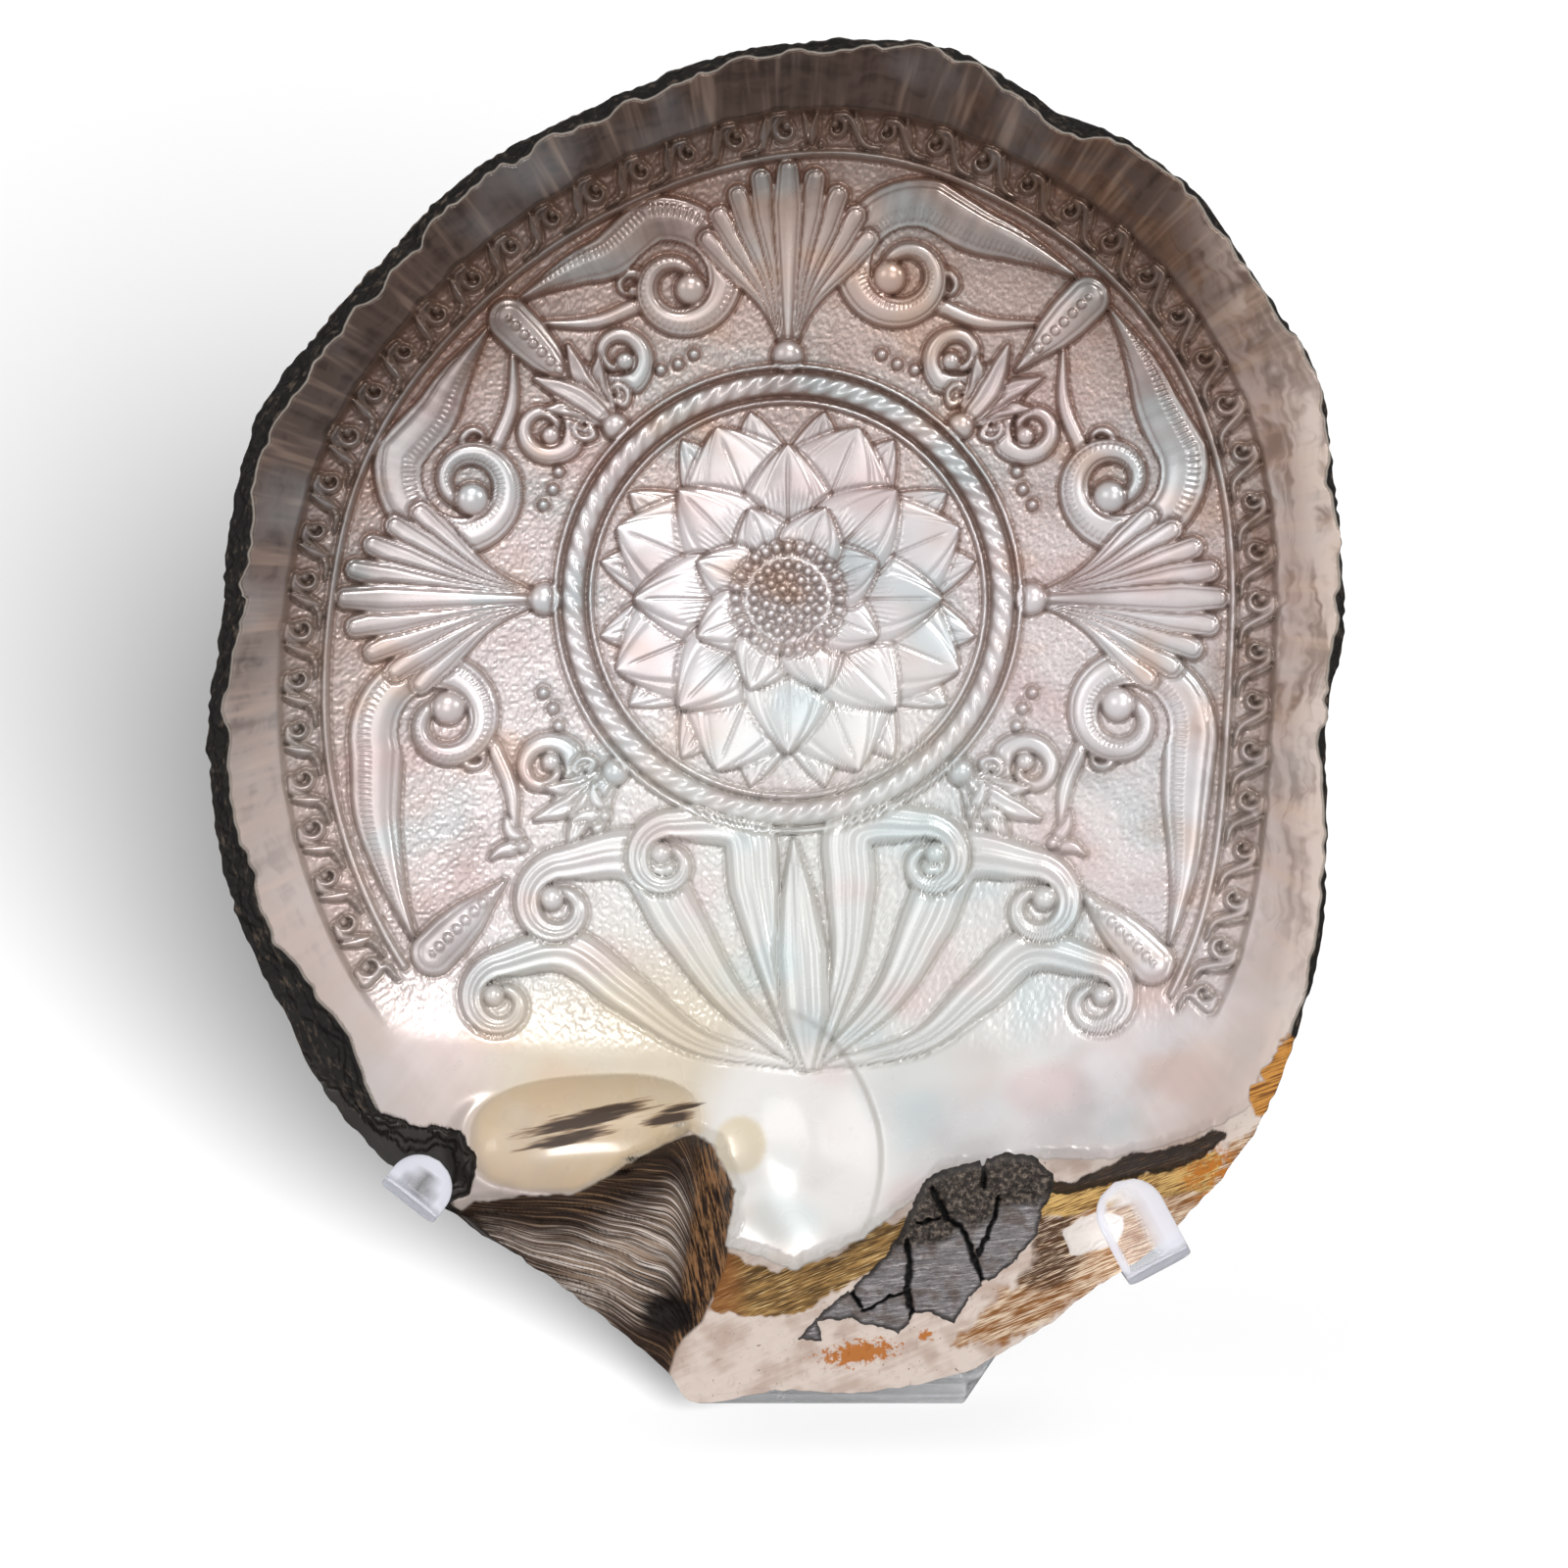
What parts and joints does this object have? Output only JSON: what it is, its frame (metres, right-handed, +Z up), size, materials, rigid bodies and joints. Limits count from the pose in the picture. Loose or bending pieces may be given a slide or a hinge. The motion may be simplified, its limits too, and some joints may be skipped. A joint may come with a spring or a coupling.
{
  "type": "carved pearl shell on a clear easel",
  "caption": "Pearl oyster valve carved in low relief inside its nacre face, leaning in a clear easel with two front hooks.",
  "frame": {"origin": "centre of the whole object's footprint box, on the surface that it stands on", "axes": "+Z up, +X to the right as seen from the front, the carved face looks towards -Y and 15 degrees upward"},
  "size_m": [0.1674, 0.0924, 0.2007],
  "materials": {
    "nacre": "polished mother of pearl: silvery white at the hinge, lilac grey in the middle, smoky brown at the margin, with a dark horny outer layer",
    "dried_horn": "dry, cracked black ligament with grey bands",
    "clear_acrylic": "clear, polished, faintly frosted on its cut edges"
  },
  "bodies": {
    "root": {"shell": "nacre", "hinge_ligament": "dried_horn", "easel_back": "clear_acrylic", "easel_base": "clear_acrylic", "easel_brace": "clear_acrylic"}
  },
  "joints": []
}
